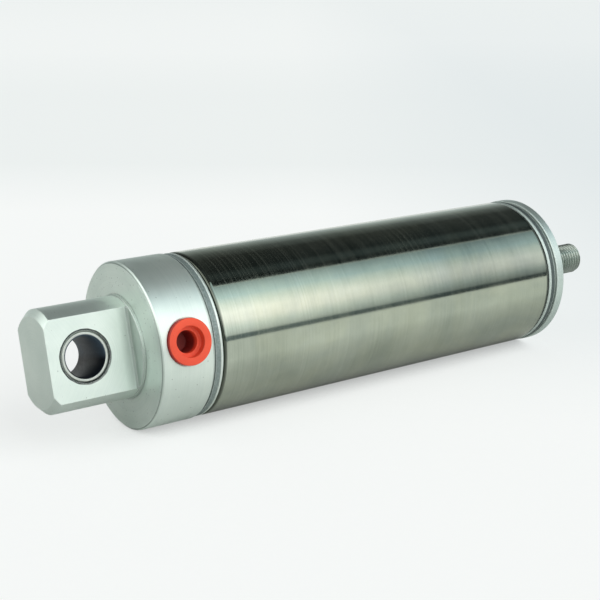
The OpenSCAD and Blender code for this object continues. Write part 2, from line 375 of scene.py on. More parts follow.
def make_countersink():
    """A mask of painted shade for a countersink round the pivot bore, a little
    uneven.

    A dark line runs round it, near its inside on one side of the bore and near
    its outside on the other, as shade falls on a cone, and the rest is painted
    a lighter shade."""
    group, given, made = new_group(
        "countersink shade", [("Radius", 0.0106)], [("Mask", "Float")])
    here, part = own_place(group)
    wander, ring_width, reach, lean = 0.0004, 0.00105, 0.011, -0.7
    line_low, line_high, line_half, line_end = 0.8, 0.18, 0.26, 0.56
    shaded_rest, soft_rim = 0.6, 0.0001
    blot = calc(group, "SUBTRACT", noise(group, here, 500.0, 3.0), 0.5)
    radius = calc(group, "ADD", from_middle(group, part["X"], part["Z"]),
                  product(group, blot, wander))
    inside = calc(group, "SUBTRACT", given["Radius"], radius)
    slant = calc(group, "MULTIPLY_ADD", part["X"], lean, part["Z"])
    depth = calc(group, "DIVIDE", inside, ring_width)
    middle = spread(group, slant, -reach, reach, line_low, line_high)
    gap = calc(group, "ABSOLUTE", calc(group, "SUBTRACT", depth, middle))
    deep = spread(group, gap, line_half, line_end, 1.0, shaded_rest)
    rim = spread(group, inside, 0.0, soft_rim)
    group.links.new(product(group, rim, deep), made.inputs["Mask"])
    return group


LINES = make_turning_lines()
GRAIN = make_fine_grain()
EDGES = make_highlit_edges()
MARKS = make_handling_marks()
BAND = make_collar_band()
SINK = make_countersink()
CREVICES = make_crevices()
LIPS = make_lips()
ROOT = make_root_shade()
PORT = make_port_shade()


# ---------------------------------------------------------------- materials
def new_finish(name):
    """An empty material with its shader and its output."""
    finish = bpy.data.materials.new(name)
    tree = plain_tree(finish)
    shader = put(tree, "ShaderNodeBsdfPrincipled")
    put(tree, "ShaderNodeOutputMaterial", {"Surface": shader.outputs[0]})
    return finish, tree, shader


def relief_on(tree, shader, height, strength, under, distance=0.00004):
    """Feeds a height to the shader's normal, over the rounded edges."""
    node = put(tree, "ShaderNodeBump",
               {"Height": height, "Strength": strength,
                "Distance": distance, "Normal": under})
    tree.links.new(node.outputs[0], shader.inputs["Normal"])


def darker(colour, share):
    """A colour scaled towards black."""
    return tuple(v * share for v in colour[:3]) + (1.0,)


def cooler(colour, share):
    """A darker and slightly bluer tone of a colour."""
    return (colour[0] * share * 0.93, colour[1] * share,
            colour[2] * share * 1.03, 1.0)


# Colours and shares that every turned metal has in common
STAIN = srgb(214, 216, 182)
# Painted shade for the countersink round the pivot bore
SINK_SHADE = srgb(16, 28, 28)
ROOT_SHADE = (0.055, 0.1, 0.08, 1.0)
# Painted highlight along outer edges
EDGE_HIGHLIGHT = (0.95, 0.97, 0.95, 1.0)
EDGE_WIDTH = 0.0003
LINE_SHARE = 0.6        # of the tone; clouds have the rest
# How much lines and grain dull it, and between which sums
LINE_DULL, GRAIN_DULL, DULL = 0.7, 0.3, (0.2, 0.8)
# Which lines scatter light, and how much metal the edges with painted
# highlight lose
SCATTER, EDGE_SCATTER = (0.45, 0.7), -0.7
# The third tone is painted shade in crevices and at the tube's rolled ends,
# the fourth painted shade deep in the air port
SPECK_TONE, SCRATCH_TONE, SHADE_TONE, PORT_TONE = 0.15, 0.5, 0.12, 0.04
SINK_SHARE, PORT_SHARE, LIP_SHARE = 0.95, 0.9, 0.8
SAND_DARK, SAND_LIGHT, SAND_DULL, SAND_DEPTH = 0.36, 0.54, 0.2, 2.0


def turned_metal(name, light, dark, rough=(0.25, 0.4), lines=2200.0,
                 line_depth=0.3, grain=2500.0, grain_share=0.3, specks=0.25,
                 edge=0.4, smears=0.15, waver=6.0, metallic=1.0, scatter=0.0,
                 scratches=0.1, grime=0.6, reach=0.0012, speck_scale=900.0,
                 stain=0.0, band=None, bore=None, lips=None):
    """A machined metal: turning lines, grain, specks, edges and smears.

    band gives the stations and tone of a blasted band round a collar, bore the
    outside radius of a countersink round the pivot, which turns on painted
    shade there, at the tang's root and in the air port, and lips the stations
    of a tube's two rolled ends, which get painted shade."""
    finish, tree, shader = new_finish(name)
    cut = use(tree, LINES, Lines=lines, Waver=waver)
    skin = use(tree, GRAIN, Scale=grain, Speck_Scale=speck_scale)
    highlit = use(tree, EDGES, Width=EDGE_WIDTH)
    touch = use(tree, MARKS)
    shade = calc(tree, "MULTIPLY_ADD", cut["Height"], LINE_SHARE,
                 product(tree, skin["Clouds"], 1.0 - LINE_SHARE))
    base = blend_colour(tree, spread(tree, shade, *MOST), dark, light)
    mixed = calc(tree, "MULTIPLY_ADD", touch["Smears"], smears,
                 product(tree, cut["Height"], LINE_DULL))
    mixed = calc(tree, "MULTIPLY_ADD", skin["Height"], GRAIN_DULL, mixed)
    dull = spread(tree, mixed, *DULL, *rough)
    relief = calc(tree, "MULTIPLY_ADD", skin["Height"], grain_share,
                  product(tree, cut["Height"], 1.0 - grain_share))
    # Coats over the base colour, in order: mask, share and colour
    coats = [(touch["Smears"], stain, STAIN)] if stain else []
    coats += [(skin["Specks"], specks, darker(dark, SPECK_TONE)),
              (touch["Scratches"], scratches, darker(dark, SCRATCH_TONE))]
    if band:
        start, end, tone = band
        blasted = use(tree, BAND, From=start, To=end)["Mask"]
        pits = use(tree, GRAIN, Scale=1500.0)["Height"]
        sand = blend_colour(tree, spread(tree, pits, *MIDDLE),
                            cooler(dark, SAND_DARK * tone),
                            cooler(light, SAND_LIGHT * tone))
        coats.append((blasted, 1.0, sand))
        dull = calc(tree, "MULTIPLY_ADD", blasted, SAND_DULL, dull,
                    clamp=True)
        relief = calc(tree, "MULTIPLY_ADD", product(tree, blasted, pits),
                      SAND_DEPTH, relief)
    # Painted shade: the countersink, the tang's root and the air port
    if bore:
        coats += [(use(tree, SINK, Radius=bore)["Mask"], SINK_SHARE,
                   SINK_SHADE),
                  (use(tree, ROOT)["Mask"], 1.0, ROOT_SHADE),
                  (use(tree, PORT)["Mask"], PORT_SHARE,
                   darker(dark, PORT_TONE))]
    # Painted shade at the tube's two rolled ends
    if lips:
        coats.append((use(tree, LIPS, Low=lips[0], High=lips[1])["Mask"],
                      LIP_SHARE, darker(dark, SHADE_TONE)))
    # Painted shade in crevices; the painted edge highlight is kept out of them
    shaded_crevice = use(tree, CREVICES, Reach=reach)["Mask"]
    outer = product(tree, highlit["Mask"], calc(tree, "SUBTRACT", 1.0, shaded_crevice))
    coats += [(outer, edge, EDGE_HIGHLIGHT),
              (shaded_crevice, grime, darker(dark, SHADE_TONE))]
    for mask, share, colour in coats:
        base = blend_colour(tree, product(tree, mask, share), base, colour)
    sheen = spread(tree, cut["Height"], *SCATTER, metallic,
                   metallic - scatter)
    tree.links.new(base, shader.inputs["Base Color"])
    tree.links.new(dull, shader.inputs["Roughness"])
    tree.links.new(calc(tree, "MULTIPLY_ADD", outer, EDGE_SCATTER * edge,
                        sheen, clamp=True), shader.inputs["Metallic"])
    relief_on(tree, shader, relief, line_depth, highlit["Rounded"])
    return finish


def moulded(name, light, dark, rough=(0.4, 0.6), grain=1800.0, depth=0.25,
            specks=0.1, edge=0.25, edge_highlight_colour=(0.9, 0.9, 0.9, 1.0),
            shade=None, rim=None, gloss=0.5):
    """Plastic or rubber: an even grain, soft clouds and a painted highlight
    along the edges.

    shade paints shade on it, darker from one place to another along an axis:
    the axis, the two places and the colour there. rim paints shade on the
    outer wall, darker: its centre on X, the radius where it starts and its
    colour."""
    finish, tree, shader = new_finish(name)
    speck_tone, shade_fuzz, rim_fade = 0.3, 0.4, 0.00012
    skin = use(tree, GRAIN, Scale=grain, Speck_Scale=500.0)
    highlit = use(tree, EDGES, Width=0.0002)
    base = blend_colour(tree, skin["Clouds"], dark, light)
    # Specks, and a painted highlight along the edges
    coats = [(product(tree, skin["Specks"], specks),
              darker(dark, speck_tone)),
             (product(tree, highlit["Mask"], edge), edge_highlight_colour)]
    part = own_place(tree)[1] if shade or rim else None
    if shade:
        axis, clean, full, colour = shade
        fuzz = calc(tree, "MULTIPLY_ADD", skin["Clouds"],
                    (full - clean) * shade_fuzz, part[axis])
        coats.append((spread(tree, fuzz, clean, full), colour))
    if rim:
        centre, start, colour = rim
        off = calc(tree, "SUBTRACT", part["X"], centre)
        coats.append((spread(tree, from_middle(tree, off, part["Z"]), start,
                             start + rim_fade), colour))
    for amount, colour in coats:
        base = blend_colour(tree, amount, base, colour)
    shader.inputs["Specular IOR Level"].default_value = gloss
    tree.links.new(base, shader.inputs["Base Color"])
    tree.links.new(spread(tree, skin["Height"], *MOST, *rough),
                   shader.inputs["Roughness"])
    relief_on(tree, shader, skin["Height"], depth, highlit["Rounded"], 0.00005)
    return finish


def head_finish(name, light, dark, band, bore=None):
    """Satin clear-anodised aluminium of the two heads."""
    return turned_metal(
        name, light, dark, rough=(0.36, 0.5),
        lines=2200.0, line_depth=0.2, grain=3200.0, grain_share=0.65,
        specks=0.42, speck_scale=520.0, edge=0.8, metallic=0.84,
        scratches=0.05, band=band, bore=bore)


plug_low, plug_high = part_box("port_plug")
PLUG_X, PLUG_R = ((plug_low[0] + plug_high[0]) / 2,
                  (plug_high[0] - plug_low[0]) / 2)
tube_low, tube_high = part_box("tube")
TUBE_FROM, TUBE_TO = tube_low[0], tube_high[0]
# Blasted bands past the tube's ends: two stations on X and how light, the
# front one painted darker for shade
BAND_NEAR, BAND_FAR = 0.00152, 0.00395
REAR_BAND = (TUBE_FROM - BAND_FAR, TUBE_FROM - BAND_NEAR, 0.9)
FRONT_BAND = (TUBE_TO + BAND_NEAR, TUBE_TO + BAND_FAR, 0.5)
COUNTERSINK_R = 0.0106
HEADS = {
    "rear_head": head_finish(
        "anodised rear head", srgb(231, 241, 233), srgb(212, 225, 217),
        REAR_BAND, COUNTERSINK_R),
    # The front head is the rear head's aluminium painted darker, for shade
    "front_head": head_finish(
        "anodised front head", srgb(208, 221, 214), srgb(194, 207, 201),
        FRONT_BAND),
}
FINISH = {
    "head_aluminium": HEADS["rear_head"],
    "tube_stainless": turned_metal(
        "brushed stainless tube", srgb(186, 194, 180), srgb(160, 169, 155),
        rough=(0.05, 0.13), lines=2300.0, line_depth=0.13, grain=2000.0,
        grain_share=0.02, specks=0.05, edge=0.0, smears=0.35, waver=16.0,
        scatter=0.05, stain=0.28, lips=(TUBE_FROM, TUBE_TO)),
    "bush_steel": turned_metal(
        "steel bush shell", srgb(218, 222, 214), srgb(170, 176, 170),
        rough=(0.25, 0.45), lines=3000.0, line_depth=0.4, grain=1500.0,
        grain_share=0.8, specks=0.5, edge=0.3),
    "rod_steel": turned_metal(
        "bright rod steel", srgb(200, 209, 199), srgb(138, 147, 139),
        rough=(0.16, 0.28), lines=3000.0, line_depth=0.3, specks=0.2,
        edge=0.3, metallic=0.93, grime=0.95, reach=0.0009),
    "piston_aluminium": turned_metal(
        "turned piston aluminium", srgb(222, 224, 220), srgb(196, 198, 195),
        rough=(0.25, 0.4)),
    "bronze": turned_metal(
        "sintered bronze", srgb(214, 178, 122), srgb(128, 92, 54),
        rough=(0.4, 0.65), lines=900.0, line_depth=0.8, grain=1100.0,
        grain_share=0.95, specks=1.0, edge=0.2, metallic=0.9, smears=0.0,
        scratches=0.0),
    "zinc_steel": turned_metal(
        "zinc-plated steel", srgb(205, 210, 214), srgb(165, 170, 176),
        rough=(0.25, 0.45)),
    "spring_steel": turned_metal(
        "oil-tempered spring wire", srgb(122, 124, 122), srgb(70, 72, 72),
        rough=(0.3, 0.5), lines=900.0, edge=0.1),
    "plug_plastic": moulded(
        "red shipping plug plastic", srgb(232, 80, 46), srgb(214, 66, 36),
        rough=(0.42, 0.6), specks=0.15, edge=0.35,
        edge_highlight_colour=srgb(250, 140, 105),
        # Painted shade: darker deep in the recess, and on the flange's outer
        # wall
        shade=("Y", -0.0304, -0.0285, srgb(128, 34, 26)),
        rim=(PLUG_X, PLUG_R - 0.00014, srgb(186, 34, 18))),
    "seal_rubber": moulded(
        "black seal rubber", srgb(36, 36, 37), srgb(22, 22, 23),
        rough=(0.5, 0.7)),
    "bumper_elastomer": moulded(
        "dark bumper elastomer", srgb(60, 58, 52), srgb(40, 39, 36),
        rough=(0.5, 0.7)),
    "guide_strip": moulded(
        "guide strip", srgb(112, 84, 58), srgb(84, 62, 44),
        rough=(0.45, 0.6)),
}
# The lining has painted shade, darker below the middle of the bore
LINING = moulded("dark bush lining", srgb(78, 92, 104), srgb(58, 70, 82),
                 rough=(0.3, 0.45), grain=1200.0, depth=0.3, edge=0.0,
                 shade=("Z", -0.0006, -0.003, srgb(16, 22, 30)), gloss=0.15)


def dress_cad_nodes():
    """Gives every CAD node the finish of its own material slot."""
    for name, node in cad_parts.items():
        for place in node.material_slots:
            slot = place.material.name.split(".")[0]
            place.material = HEADS.get(name, FINISH[slot])


# ------------------------------------------------------------------- pieces
def eased(outline, radius, steps=3):
    """An outline of (radius, station) points with its corners rounded."""
    soft, most_of_side = [], 0.45
    for i, here in enumerate(outline):
        before = Vector(outline[i - 1]) if i else None
        after = Vector(outline[i + 1]) if i + 1 < len(outline) else None
        here = Vector(here)
        if before is None or after is None:
            soft.append(here)
            continue
        back, on = before - here, after - here
        reach = min(radius, back.length * most_of_side,
                    on.length * most_of_side)
        a = here + back.normalized() * reach
        b = here + on.normalized() * reach
        for k in range(steps + 1):
            t = k / steps
            soft.append(a * (1 - t) ** 2 + here * 2 * t * (1 - t)
                        + b * t ** 2)
    return soft


def finish_piece(name, mesh, finish, body, nodes):
    """Makes a mesh a piece: shaded, finished, riding on its body, and
    standing for the CAD nodes that it replaces."""
    mesh.materials.clear()
    mesh.materials.append(finish)
    for face in mesh.polygons:
        face.use_smooth = True
    mesh.set_sharp_from_angle(angle=math.radians(38.0))
    piece = bpy.data.objects.new(name, mesh)
    bpy.context.scene.collection.objects.link(piece)
    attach(piece, body)
    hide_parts(*nodes)
    return piece


def turned_mesh(name, outline, axis="X", centre=(0.0, 0.0, 0.0), turns=96,
                closed=False):
    """Spins an outline of (radius, station) points, in millimetres, round X
    or round -Y. An open outline starts and ends on the axis."""
    form = bmesh.new()
    rings = []
    for radius, station in outline:
        ring = []
        for k in range(1 if radius < 1e-6 else turns):
            a = math.tau * k / turns
            across, up = radius * math.cos(a), radius * math.sin(a)
            if axis == "X":
                place = Vector((station, across, up))
            else:
                place = Vector((across, -station, up))
            ring.append(form.verts.new(place * MM + Vector(centre)))
        rings.append(ring)
    pairs = list(zip(rings, rings[1:]))
    if closed:
        pairs.append((rings[-1], rings[0]))
    for low, high in pairs:
        for k in range(turns):
            quad = [low[k % len(low)], low[(k + 1) % len(low)],
                    high[(k + 1) % len(high)], high[k % len(high)]]
            corners = list(dict.fromkeys(quad))
            if len(corners) > 2:
                form.faces.new(corners)
    bmesh.ops.recalc_face_normals(form, faces=form.faces)
    mesh = bpy.data.meshes.new(name)
    form.to_mesh(mesh)
    form.free()
    return mesh


def make_pivot_bush():
    """Steel bush with chamfered ends and a dark low-friction lining."""
    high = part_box("pivot_bush")[1]
    half = high[1] / MM
    outer = high[0] / MM - 0.005
    bore, wall = 7.9375, 8.3
    cut_in, cut_out = 0.15, 0.35    # chamfers inside and outside
    shell = [(wall, -half + cut_in), (wall + cut_in, -half),
             (outer - cut_out, -half), (outer, -half + cut_out),
             (outer, half - cut_out), (outer - cut_out, half),
             (wall + cut_in, half), (wall, half - cut_in)]
    mesh = turned_mesh("bush shell", shell, axis="Y", closed=True)
    finish_piece("pivot_bush_shell", mesh, FINISH["bush_steel"], "barrel",
                 ["pivot_bush"])
    back, sunk, lead, lead_end = wall - 0.01, half - 0.1, 0.12, half - 0.3
    lining = [(bore + lead, -sunk), (back, -sunk), (back, sunk),
              (bore + lead, sunk), (bore, lead_end), (bore, -lead_end)]
    mesh = turned_mesh("bush lining", lining, axis="Y", closed=True)
    finish_piece("pivot_bush_lining", mesh, LINING, "barrel",
                 ["pivot_bush"])


def make_port_plug():
    """Moulded plug: a flange, a stepped recess and a hollow shank."""
    low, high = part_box("port_plug")
    top, foot = -low[1] / MM, -high[1] / MM
    flange = (high[0] - low[0]) / MM / 2
    seat, shank, step, hole, recess = 32.22, 6.63, 5.98, 4.38, 3.0
    lead, floor, draft, easing = 0.8, foot + 1.2, 0.4, 0.28
    outline = [
        (0.0, foot), (shank - lead, foot), (shank, floor), (shank, seat),
        (flange, seat), (flange, top), (step, top), (step, top - recess),
        (hole, top - recess), (hole - draft, floor), (0.0, floor)]
    mesh = turned_mesh("plug", eased(outline, easing), axis="Y",
                       centre=(PLUG_X, 0.0, 0.0))
    finish_piece("shipping_plug", mesh, FINISH["plug_plastic"], "plug",
                 ["port_plug"])


def build_tree(name, inputs):
    """An empty Geometry Nodes tree with named number inputs."""
    tree = bpy.data.node_groups.new(name, "GeometryNodeTree")
    tree.interface.new_socket("Geometry", in_out="OUTPUT",
                              socket_type="NodeSocketGeometry")
    for label, value in inputs:
        kind = "NodeSocketInt" if isinstance(value, int) else "NodeSocketFloat"
        socket = tree.interface.new_socket(label, in_out="INPUT",
                                           socket_type=kind)
        socket.default_value = value
    socket = tree.interface.new_socket("Material", in_out="INPUT",
                                       socket_type="NodeSocketMaterial")
    return tree, tree.nodes.new("NodeGroupInput").outputs


def close_tree(tree, geometry, given):
    """Ends a Geometry Nodes tree in real mesh with its material."""
    real = put(tree, "GeometryNodeRealizeInstances", {0: geometry}).outputs[0]
    named = put(tree, "GeometryNodeSetMaterial", {"Geometry": real,
                "Material": given["Material"]}).outputs[0]
    put(tree, "NodeGroupOutput", {0: named})


def grown_mesh(name, tree, material, **values):
    """Runs a Geometry Nodes tree and returns its result as a plain mesh."""
    seed = bpy.data.objects.new(name, bpy.data.meshes.new(name))
    bpy.context.scene.collection.objects.link(seed)
    modifier = seed.modifiers.new("build", "NODES")
    modifier.node_group = tree
    values["Material"] = material
    for item in tree.interface.items_tree:
        if item.in_out == "INPUT":
            value = values[item.name.replace(" ", "_")]
            modifier[item.identifier] = value
    ready = seed.evaluated_get(bpy.context.evaluated_depsgraph_get())
    mesh = bpy.data.meshes.new_from_object(ready)
    mesh.name = name
    bpy.data.objects.remove(seed)
    return mesh


def round_x(tree, station, radius, angle):
    """A place round the X axis, from its station, radius and angle."""
    return put(tree, "ShaderNodeCombineXYZ", {
        0: station,
        1: product(tree, radius, calc(tree, "COSINE", angle)),
        2: product(tree, radius, calc(tree, "SINE", angle))}).outputs[0]


def make_thread_tree():
    """A screw thread on a bar along X, with a chamfered tip and a run-out.

    A grid is rolled up: its first side goes round, its second along."""
    tree, given = build_tree("screw thread", [
        ("Start", 0.0), ("Length", 0.02), ("Pitch", 0.0017),
        ("Crest Radius", 0.007), ("Depth", 0.001), ("Chamfer", 0.0013),
        ("Run Out", 0.001), ("Around", 97), ("Rows", 200)])
    grid = put(tree, "GeometryNodeMeshGrid",
               {"Size X": 1.0, "Size Y": 1.0, "Vertices X": given["Around"],
                "Vertices Y": given["Rows"]}).outputs[0]
    flat = put(tree, "ShaderNodeSeparateXYZ",
               {0: put(tree, "GeometryNodeInputPosition").outputs[0]}).outputs
    round_share = calc(tree, "ADD", flat["X"], 0.5)
    row_share = calc(tree, "ADD", flat["Y"], 0.5)
    spare = calc(tree, "DIVIDE", 1.0, calc(tree, "SUBTRACT", given["Rows"],
                                           1.0))
    along = spread(tree, row_share, spare, calc(tree, "SUBTRACT", 1.0, spare))
    station = calc(tree, "MULTIPLY_ADD", along, given["Length"],
                   given["Start"])
    place = calc(tree, "SUBTRACT", calc(tree, "DIVIDE", station,
                                        given["Pitch"]), round_share)
    wave = calc(tree, "ABSOLUTE", calc(tree, "MULTIPLY_ADD",
                calc(tree, "FRACT", place), 2.0, -1.0))
    crest_share, root_share = 0.08, 0.86
    tooth = spread(tree, wave, crest_share, root_share)
    radius = calc(tree, "SUBTRACT", given["Crest Radius"],
                  product(tree, tooth, given["Depth"]))
    done = product(tree, along, given["Length"])
    left = calc(tree, "SUBTRACT", given["Length"], done)
    tip = calc(tree, "ADD", left, calc(tree, "SUBTRACT",
               given["Crest Radius"], given["Chamfer"]))
    foot = calc(tree, "ADD", done, calc(tree, "SUBTRACT",
                given["Crest Radius"], given["Run Out"]))
    radius = calc(tree, "MINIMUM", radius, calc(tree, "MINIMUM", tip, foot))
    half = product(tree, spare, 0.5)
    inside = product(tree, calc(tree, "GREATER_THAN", row_share, half),
                     calc(tree, "LESS_THAN", row_share,
                          calc(tree, "SUBTRACT", 1.0, half)))
    rolled = round_x(tree, station, product(tree, radius, inside),
                     product(tree, round_share, math.tau))
    bar = put(tree, "GeometryNodeSetPosition",
              {"Geometry": grid, "Position": rolled}).outputs[0]
    weld = 0.000002
    sealed = put(tree, "GeometryNodeMergeByDistance",
                 {"Geometry": bar, "Distance": weld}).outputs[0]
    close_tree(tree, sealed, given)
    return tree


def outward(mesh):
    """Turns a closed mesh's faces outwards."""
    form = bmesh.new()
    form.from_mesh(mesh)
    bmesh.ops.recalc_face_normals(form, faces=form.faces)
    form.to_mesh(mesh)
    form.free()
    return mesh


def make_rod():
    """The rod: a turned bar with a relief, and a threaded end."""
    low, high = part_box("rod")
    foot, tip = low[0] / MM, high[0] / MM
    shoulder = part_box("piston")[1][0] / MM
    thread_length, thread_r = 25.4, 7.14375
    rod_r, stud_r, lead = 7.9375, 6.0, 0.8
    start = tip - thread_length
    relief_r, relief_end = thread_r - 1.0, start - 1.6
    joint = start + 0.2
    outline = [
        (0.0, foot), (stud_r - lead, foot), (stud_r, foot + lead),
        (stud_r, shoulder), (rod_r, shoulder), (rod_r, relief_end - lead),
        (rod_r - lead, relief_end), (relief_r, relief_end),
        (relief_r, joint), (0.0, joint)]
    easing = 0.15
    mesh = turned_mesh("rod bar", eased(outline, easing))
    finish_piece("rod_bar", mesh, FINISH["rod_steel"], "rod",
                 ["rod"])
    mesh = grown_mesh("rod thread", make_thread_tree(), FINISH["rod_steel"],
                      Start=start * MM, Length=thread_length * MM,
                      Pitch=1.7 * MM, Crest_Radius=thread_r * MM,
                      Depth=0.95 * MM, Chamfer=1.3 * MM, Run_Out=1.0 * MM,
                      Around=97, Rows=212)
    finish_piece("rod_thread", outward(mesh), FINISH["rod_steel"], "rod",
                 ["rod"])


def make_spring_tree():
    """A coil spring along X with one closed turn at each end."""
    tree, given = build_tree("coil spring", [
        ("Start", 0.0), ("Turns", 9.0), ("Closed Step", 0.0037),
        ("Open Step", 0.012), ("Coil Radius", 0.022), ("Wire Radius", 0.0018),
        ("Points", 600), ("Sides", 14)])
    line = put(tree, "GeometryNodeCurvePrimitiveLine").outputs[0]
    cut = put(tree, "GeometryNodeResampleCurve",
              {"Curve": line, "Count": given["Points"]}).outputs[0]
    share = put(tree, "GeometryNodeSplineParameter").outputs["Factor"]
    turn = product(tree, share, calc(tree, "ADD", given["Turns"], 2.0))
    first = calc(tree, "MINIMUM", turn, 1.0)
    last = calc(tree, "MAXIMUM", calc(tree, "SUBTRACT", turn,
                calc(tree, "ADD", given["Turns"], 1.0)), 0.0)
    middle = calc(tree, "SUBTRACT", calc(tree, "SUBTRACT", turn, first), last)
    ends = product(tree, calc(tree, "ADD", first, last),
                   given["Closed Step"])
    station = calc(tree, "ADD", calc(tree, "MULTIPLY_ADD", middle,
                   given["Open Step"], ends), given["Start"])
    coil = round_x(tree, station, given["Coil Radius"],
                   product(tree, turn, math.tau))
    path = put(tree, "GeometryNodeSetPosition",
               {"Geometry": cut, "Position": coil}).outputs[0]
    wire = put(tree, "GeometryNodeCurvePrimitiveCircle",
               {"Resolution": given["Sides"],
                "Radius": given["Wire Radius"]}).outputs[0]
    body = put(tree, "GeometryNodeCurveToMesh",
               {"Curve": path, "Profile Curve": wire,
                "Fill Caps": True}).outputs[0]
    close_tree(tree, body, given)
    return tree


def make_return_spring():
    """The return spring, made at one length; in the cylinder it shortens as
    the rod goes out.
    """
    low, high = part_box("return_spring")
    wire, turns, stroke = 1.8 * MM, 9.0, 0.0635
    clear_of_wire = 1.03
    closed = 2 * wire * clear_of_wire
    first, last = low[0] + wire, high[0] - wire
    open_step = (last - first - 2 * closed) / turns
    mesh = grown_mesh("spring", make_spring_tree(), FINISH["spring_steel"],
                      Start=first, Turns=turns, Closed_Step=closed,
                      Open_Step=open_step, Coil_Radius=high[2] - wire,
                      Wire_Radius=wire, Points=540, Sides=14)
    spring = finish_piece("return_spring_coil", outward(mesh),
                          FINISH["spring_steel"], "barrel",
                          ["return_spring"])
    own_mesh(spring)


dress_cad_nodes()
make_pivot_bush()
make_port_plug()
make_rod()
make_return_spring()

# -------------------------------------------------------------- the studio
ROOM_LEVEL, ROOM_SHOWN = 0.5, 0.93
VIEW_X, VIEW_Y = 0.5726, 0.8198     # the way the view runs over the floor
# Paper tones: the far and shaded ones paint shade on the floor
NEAR_PAPER, FAR_PAPER = srgb(250, 252, 251), srgb(240, 244, 243)
SHADED_PAPER, FIBRE = srgb(231, 237, 238), (0.8, 0.8, 0.8, 1.0)


def stage_mesh(name, points, faces, finish):
    """A floor or card made from points on the set."""
    mesh = bpy.data.meshes.new(name)
    mesh.from_pydata([on_set(*p) for p in points], [], faces)
    mesh.materials.append(finish)
    thing = bpy.data.objects.new(name, mesh)
    bpy.context.scene.collection.objects.link(thing)
    return thing


def paper_tone(tree, here, part):
    """The paper's colour, with painted shade: it falls off behind and to the
    right.

    The ranges are in metres along the view, across it, and all round."""
    dip_in, dip_out, dip_left = (0.42, 0.62), (1.1, 1.7), 0.55
    right_in, right_left, far_in = (0.1, 0.34), 0.5, (2.2, 5.0)
    behind_in, behind_out = (0.02, 0.16), (0.8, 2.0)
    fibre_share = 0.02
    back = calc(tree, "MULTIPLY_ADD", part["X"], VIEW_X,
                product(tree, part["Y"], VIEW_Y))
    across = calc(tree, "MULTIPLY_ADD", part["Y"], -VIEW_X,
                  product(tree, part["X"], VIEW_Y))
    dip = product(tree, spread(tree, back, *dip_in),
                  spread(tree, back, *dip_out, 1.0, dip_left))
    right = product(tree, spread(tree, across, *right_in),
                    spread(tree, back, *behind_in),
                    spread(tree, back, *behind_out, 1.0, right_left))
    distance = put(tree, "ShaderNodeVectorMath", {0: here},
                   operation="LENGTH").outputs["Value"]
    tint = blend_colour(tree, dip, NEAR_PAPER, FAR_PAPER)
    tint = blend_colour(tree, right, tint, SHADED_PAPER)
    tint = blend_colour(tree, spread(tree, distance, *far_in), tint,
                        FAR_PAPER)
    fibre = spread(tree, noise(tree, here, 350.0, 4.0), *MIDDLE, 0.0,
                   fibre_share)
    return blend_colour(tree, fibre, tint, FIBRE)


def make_floor():
    """A pale paper floor that runs back far enough to fill the view.

    It is lit as paper, and it also shows its own tone to the camera and in
    metal, with painted shadow where the object stands close over it, and in
    metal painted shade near the object and to its left."""
    paper = bpy.data.materials.new("floor paper")
    tree = plain_tree(paper)
    here, part = own_place(tree)
    tone = paper_tone(tree, here, part)
    matt = put(tree, "ShaderNodeBsdfDiffuse", {"Color": tone})
    seen = put(tree, "ShaderNodeLightPath").outputs
    glossy = seen["Is Glossy Ray"]
    direct = calc(tree, "MAXIMUM", seen["Is Camera Ray"],
                  seen["Is Transmission Ray"])
    # Painted shadow: darker where the object stands close over the floor, to
    # the camera and in metal; in metal also painted shade near the object and
    # to its left
    open_sky = put(tree, "ShaderNodeAmbientOcclusion", {"Distance": 0.03},
                   samples=8).outputs["AO"]
    contact = spread(tree, open_sky, 0.1, 0.36, 0.12, 1.0)
    open_to_eye = spread(tree, open_sky, 0.05, 0.22, 0.6, 1.04)
    under = 0.008       # the line on Y that the cylinder stands over
    away = calc(tree, "ABSOLUTE", calc(tree, "SUBTRACT", part["Y"], under))
    near = spread(tree, away, 0.03, 0.085, 0.35, 1.0)
    side = spread(tree, part["X"], -0.03, 0.03, 0.47, 1.0)
    mirrored = product(tree, glossy, near, side, contact)
    mirrored_level, glossy_share, direct_share = 0.95, 0.6, 0.68
    shown = calc(tree, "MULTIPLY_ADD", mirrored, mirrored_level,
                 product(tree, direct, open_to_eye))
    hue = blend_colour(tree, glossy, (1.0, 1.0, 1.0, 1.0),
                       (1.0, 1.0, 0.96, 1.0))
    warmed = put(tree, "ShaderNodeMix", {6: tone, 7: hue, 0: 1.0},
                 data_type="RGBA", blend_type="MULTIPLY").outputs[2]
    glow = put(tree, "ShaderNodeEmission",
               {"Color": warmed, "Strength": shown})
    share = calc(tree, "MULTIPLY_ADD", direct, direct_share,
                 product(tree, glossy, glossy_share))
    both = put(tree, "ShaderNodeMixShader",
               {0: share, 1: matt.outputs[0], 2: glow.outputs[0]})
    put(tree, "ShaderNodeOutputMaterial", {"Surface": both.outputs[0]})
    reach = 20.0
    stage_mesh("floor",
               [(-reach, -reach, FLOOR_Z), (reach, -reach, FLOOR_Z),
                (reach, reach, FLOOR_Z), (-reach, reach, FLOOR_Z)],
               [(0, 1, 2, 3)], paper)


